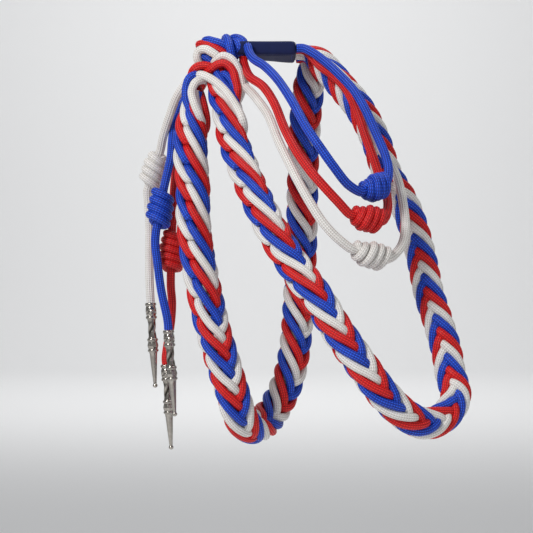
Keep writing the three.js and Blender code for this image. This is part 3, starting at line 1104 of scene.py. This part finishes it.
bights = {
    "blue": [
        [
            [-12, 1, 5],
            [-14.5, 6.5, -1],
            [-12, 8.4, -7],
            [-7, 7.3, -11],
            [-0.1, 5.2, -12],
            [6, 1.5, -11],
            [11, -3.4, -7],
            [10.4, -5.6, -2],
            [5, -4, 0],
        ],
        [
            [2, 5, 5],
            [3, 9.8, -1],
            [4.6, 9.2, -9],
            [6.3, 3.6, -16],
            [7.9, -3.9, -17],
            [9.6, -10.3, -14],
            [8, -15, -9],
            [2, -17, -8],
        ],
        [
            [7, 5, 6],
            [8.4, 9.2, 0],
            [13.3, 10, -5],
            [18.2, 6.6, -8],
            [19, 1, -9],
            [15, -2.6, -8],
            [10.6, 0.4, -5],
            [6, 3, 0],
        ],
        [
            [8, 3, 5],
            [9, 6.4, -4],
            [12.6, 6.2, -9],
            [14.4, 2.6, -11],
            [12.4, -0.6, -10],
            [8, -1, -3],
        ],
        [
            [-12, 0, 0],
            [-17.6, -1.2, -4],
            [-16.6, -4, -10],
            [-11.9, -7.4, -13],
            [-7.6, -11.4, -13],
            [-4, -16, -10],
        ],
        [
            [-8, -28, -14],
            [-3.4, -24.3, -20],
            [2, -20.6, -23],
            [7.4, -25.4, -25],
            [10.6, -34, -27],
            [10, -43, -28],
            [5, -49, -27],
        ],
        [
            [-16, -22, -12],
            [-20.5, -20.6, -19],
            [-27, -23.2, -21],
            [-30, -30.7, -20],
            [-30, -41.4, -20],
            [-27, -50, -21],
            [-24.5, -56, -17],
        ],
    ],
    "red": [
        [
            [-11, 0, 1],
            [-17, 2, 3],
            [-19, 4.6, -2],
            [-13, 4.6, -8],
            [-7.5, 2.6, -12],
            [-2.3, -0.2, -13],
            [3.5, -4, -13],
            [8, -9, -9],
        ],
        [
            [-20, -33, -4],
            [-24, -27, -11],
            [-25.3, -19.5, -16],
            [-21.6, -14.6, -19],
            [-15.1, -13, -20],
            [-9.5, -14.5, -20],
            [-4.5, -18.6, -17],
            [-1, -23, -16],
            [0.5, -31, -15],
        ],
        [
            [-14, -24, -7],
            [-13.6, -19, -16],
            [-9.5, -16.5, -22],
            [-4, -12.2, -24],
            [2.6, -11.4, -25],
            [8.6, -16.6, -26],
            [11.4, -25.3, -28],
            [13, -35, -29],
            [11, -44, -27],
            [5, -50, -25],
        ],
        [
            [-21, -31, -5],
            [-18, -37, -14],
            [-15, -48, -18],
            [-13, -59, -17],
            [-14, -67, -14],
            [-19, -72, -14],
            [-25, -73, -17],
        ],
    ],
    "white": [
        [
            [-14, -13, -4],
            [-18.5, -11.5, -11],
            [-21, -6.5, -13],
            [-19.6, -1, -14],
            [-14.4, 0.8, -17],
            [-8.4, -2, -19],
            [-3.6, -6, -19],
            [-2, -11, -15],
        ],
        [
            [-8, -14, -12],
            [-4.6, -8.2, -19],
            [0.4, -5, -21],
            [6.6, -6.8, -22],
            [12, -12.8, -23],
            [15.4, -21.4, -24],
            [16.6, -30.7, -25],
            [15, -39, -22],
            [10, -46, -22],
            [4, -49, -24],
        ],
        [
            [-24, -24, -13],
            [-18.5, -20.8, -22],
            [-12.5, -22.6, -27],
            [-4.4, -27.5, -31],
            [4.1, -36, -36],
            [11.6, -47, -41],
            [17, -58, -46],
            [18.4, -66, -42],
            [15.4, -72, -36],
            [10, -75, -33],
        ],
        [
            [-10, -27, -12],
            [-15.5, -25, -20],
            [-22, -27, -24],
            [-25.4, -35, -25],
            [-23, -45.7, -27],
            [-19, -55, -26],
            [-17, -62, -20],
            [-21, -67, -18],
        ],
    ],
}
headCord = dict(cordSize, diameter=6.8, sides=26, step=1.1)
coil = {"from": -16, "to": 11.3, "reach": 4.6, "pitch": 6.4}  # the turns under the bights, in mm


def coilLine():
    turns = (coil["to"] - coil["from"] - cordSize["diameter"]) / coil["pitch"]
    angle = np.linspace(0, 2 * math.pi * turns, round(24 * turns))
    across = coil["from"] + cordSize["diameter"] / 2 + angle / (2 * math.pi) * coil["pitch"]
    return np.stack([across, coil["reach"] * np.cos(angle), coil["reach"] * np.sin(angle)], axis=1)


def makeHead():
    for colour, rows in bights.items():
        lines = [turned(evenly(sampled(placed(row), 12), headCord["step"])) for row in rows]
        if colour == "blue":
            lines.append(turned(coilLine()))
        piece = makeCord(f"{colour}_bights", lines, headCord, rayonOf[colour])
        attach(piece, "root")
        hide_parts("shoulder_wrap")


makeHead()
print("head made")

# The tab: a flat sewn pad, wider at its rear, with a line of stitches round each face

pad = {
    "seam": 3.6,  # mm in from the outline
    "seamHeight": 5.25,
    "stitch": 2.2,
    "space": 3.3,
    "thread": 0.5,
    "cornerSteps": 8,
    "edgeSteps": 10,
}

# mm in from the outline, mm up from the pad's middle
padEdge = [
    (0, 3),
    (0.3, 4),
    (1, 4.9),
    (2, 5.5),
    (3, 5.5),
    (3.6, 5.2),
    (4.2, 5.5),
    (5.5, 5.9),
    (8, 6),
]


def padOutline():
    rear = tab["front"] + tab["length"]
    corners = [
        (tab["front"], tab["nearSide"]),
        (rear, tab["nearSide"]),
        (rear, tab["farRear"]),
        (tab["front"], tab["farFront"]),
    ]
    corners = np.array(corners, float)
    points = []
    for i in range(4):
        before, corner, after = corners[i - 1], corners[i], corners[(i + 1) % 4]
        first = corner + unit(before - corner) * tab["corner"]
        last = corner + unit(after - corner) * tab["corner"]
        for t in np.linspace(0, 1, pad["cornerSteps"] + 1):
            points.append((1 - t) ** 2 * first + 2 * t * (1 - t) * corner + t * t * last)
        nextFirst = after + unit(corner - after) * tab["corner"]
        for t in np.arange(1, pad["edgeSteps"]) / pad["edgeSteps"]:
            points.append(last + (nextFirst - last) * t)
    return np.array(points)


def padRing(inset, height):  # the outline drawn in towards the pad's middle
    outline = padOutline()
    middle = outline.mean(axis=0)
    away = np.linalg.norm(outline - middle, axis=1)[:, None]
    ring = middle + (outline - middle) * (1 - inset / away)
    return np.hstack([ring, np.full((len(ring), 1), float(height))])


def makeStitchTree():
    sockets = {
        "Geometry": "NodeSocketGeometry",
        "Space": "NodeSocketFloat",
        "Stitch": "NodeSocketFloat",
        "Thread": "NodeSocketFloat",
        "Material": "NodeSocketMaterial",
    }
    tree, given = newTree("line of stitches", sockets)
    start = given["Geometry"]
    places = start.node(
        "GeometryNodeCurveToPoints", {"mode": "LENGTH"}, {"Curve": start, "Length": given["Space"]}
    )
    ball = start.node("GeometryNodeMeshUVSphere", {}, {"Segments": 10, "Rings": 8, "Radius": 1.0})
    thread = given["Thread"]
    size = start.node(
        "ShaderNodeCombineXYZ", {}, {"X": thread, "Y": thread, "Z": given["Stitch"] / 2}
    )
    stitches = start.node(
        "GeometryNodeInstanceOnPoints",
        {},
        {"Points": places, "Instance": ball, "Rotation": places.other("Rotation"), "Scale": size},
    )
    return endTree(tree, stitches, given["Material"])


def makeTab():
    heights = [(inset, -height) for inset, height in reversed(padEdge)] + padEdge
    rings = [padRing(inset, height) for inset, height in heights]
    around = len(rings[0])
    faces = [tuple(reversed(range(around)))]
    for i in range(len(rings) - 1):
        for j in range(around):
            a, b = i * around + j, i * around + (j + 1) % around
            faces.append((a, b, b + around, a + around))
    faces.append(tuple(range((len(rings) - 1) * around, len(rings) * around)))
    mesh = bpy.data.meshes.new("shoulder_pad")
    mesh.from_pydata(turned(np.vstack(rings)).tolist(), [], faces)
    mesh.materials.append(wool)
    mesh.shade_smooth()
    cushion = newPiece("shoulder_pad", mesh)
    faceOut(cushion)
    seams = []
    for height in (-pad["seamHeight"], pad["seamHeight"]):
        ring = padRing(pad["seam"], height)
        seams.append(turned(np.vstack([ring, ring[:1]])))
    values = {
        "Space": pad["space"] * mm,
        "Stitch": pad["stitch"] * mm,
        "Thread": pad["thread"] / 2 * mm,
        "Material": rayonOf["blue"],
    }
    stitches = grown("shoulder_pad_stitches", curveData("seams", seams), makeStitchTree(), values)
    for piece in (cushion, stitches):
        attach(piece, "root")
        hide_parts("shoulder_tab")


makeTab()
print("tab made")

# Floor, backdrop and light

studio = {
    "floor": -0.62,
    "reach": 6.0,
    "curve": 1.2,
    "steps": 24,
    "halfWidth": 8.0,
    "height": 5.0,
    "paper": (0.93, 0.93, 0.93, 1),
    "air": (0.95, 0.97, 1, 1),
    "glow": 0.28,
}

# places and targets are right, up and away in mm, sizes are in metres
lamps = {
    "key": {"place": (-750, 650, -1000), "size": 0.5, "power": 15, "target": (20, -190, 0)},
    "fill": {"place": (900, 0, -800), "size": 1.2, "power": 2, "target": (20, -190, 0)},
    "top": {"place": (200, 1100, 300), "size": 1.0, "power": 5, "target": (20, -190, 0)},
    "backdrop glow": {
        "place": (0, 2200, 2600),
        "size": 2.0,
        "power": 70,
        "target": (0, 400, 6000),
    },
}


def makeBackdrop():  # a floor that curves up into a wall
    reach, curve, steps = studio["reach"], studio["curve"], studio["steps"]
    profile = [(-reach, 0.0), (reach - curve, 0.0)]
    for i in range(1, steps + 1):
        angle = i / steps * math.pi / 2
        profile.append((reach - curve + curve * math.sin(angle), curve * (1 - math.cos(angle))))
    profile.append((reach, studio["height"]))
    verts, faces = [], []
    turn = math.radians(sight["turn"])
    for y, z in profile:
        for x in (-studio["halfWidth"], studio["halfWidth"]):
            across = x * math.cos(turn) - y * math.sin(turn)
            back = x * math.sin(turn) + y * math.cos(turn)
            verts.append((across, back, z + studio["floor"]))
    for i in range(len(profile) - 1):
        faces.append((2 * i, 2 * i + 1, 2 * i + 3, 2 * i + 2))
    mesh = bpy.data.meshes.new("backdrop")
    mesh.from_pydata(verts, [], faces)
    mesh.shade_smooth()
    paper = newMaterial("pale paper", Roughness=0.9, Base_Color=studio["paper"])[0]
    mesh.materials.append(paper)
    newPiece("backdrop", mesh)


def makeLamp(name, form):
    data = bpy.data.lights.new(name, "AREA")
    data.shape = "DISK"
    data.size = form["size"]
    data.energy = form["power"]
    lamp = bpy.data.objects.new(name, data)
    bpy.context.scene.collection.objects.link(lamp)
    spots = (form["place"], form["target"])
    place, target = (Vector(turned([right, away, up])[0]) for right, up, away in spots)
    lamp.location = place
    lamp.rotation_euler = (target - place).to_track_quat("-Z", "Y").to_euler()


def makeRoom():
    world = bpy.data.worlds.new("room")
    world.use_nodes = True
    air = world.node_tree.nodes["Background"]
    air.inputs["Color"].default_value = studio["air"]
    air.inputs["Strength"].default_value = studio["glow"]
    bpy.context.scene.world = world
    bpy.context.scene.view_settings.view_transform = "Standard"


makeBackdrop()
for name, form in lamps.items():
    makeLamp(name, form)
makeRoom()
print("studio made")
